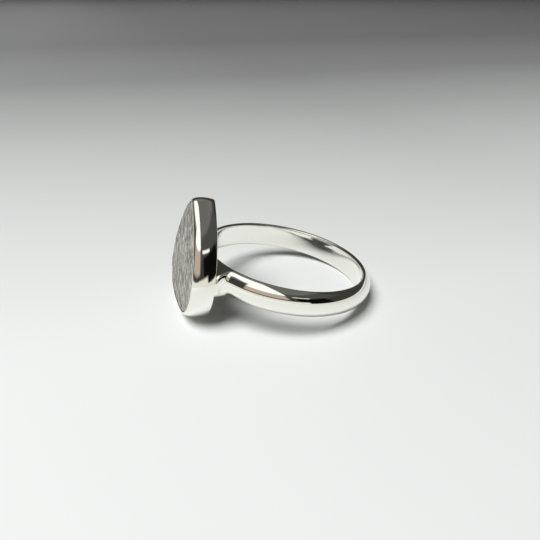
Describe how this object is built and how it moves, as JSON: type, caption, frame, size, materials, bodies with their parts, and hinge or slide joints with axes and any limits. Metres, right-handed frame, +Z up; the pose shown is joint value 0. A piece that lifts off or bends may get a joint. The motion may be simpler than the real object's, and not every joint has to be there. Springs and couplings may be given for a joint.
{
  "type": "signet ring",
  "caption": "Polished silver dress ring with a D-section shank and a shield-shaped cup head that holds a flat etched meteorite slab.",
  "frame": {"origin": "middle of the finger bore, on its axis", "axes": "+Z up with the ring lying on a level surface on the heel of its head and the far side of its shank; the head faces -X; the finger axis leans from +Z towards +X"},
  "size_m": [0.0216, 0.0194, 0.0122],
  "materials": {
    "silver_shank": "polished sterling silver",
    "silver_plate": "polished sterling silver",
    "silver_wall": "polished sterling silver",
    "adhesive": "cured epoxy resin",
    "meteorite": "sawn and etched iron meteorite, satin"
  },
  "bodies": {
    "root": {"shank": "silver_shank", "base_plate": "silver_plate", "bezel_wall": "silver_wall", "adhesive_bed": "adhesive", "stone_slab": "meteorite"}
  },
  "joints": []
}
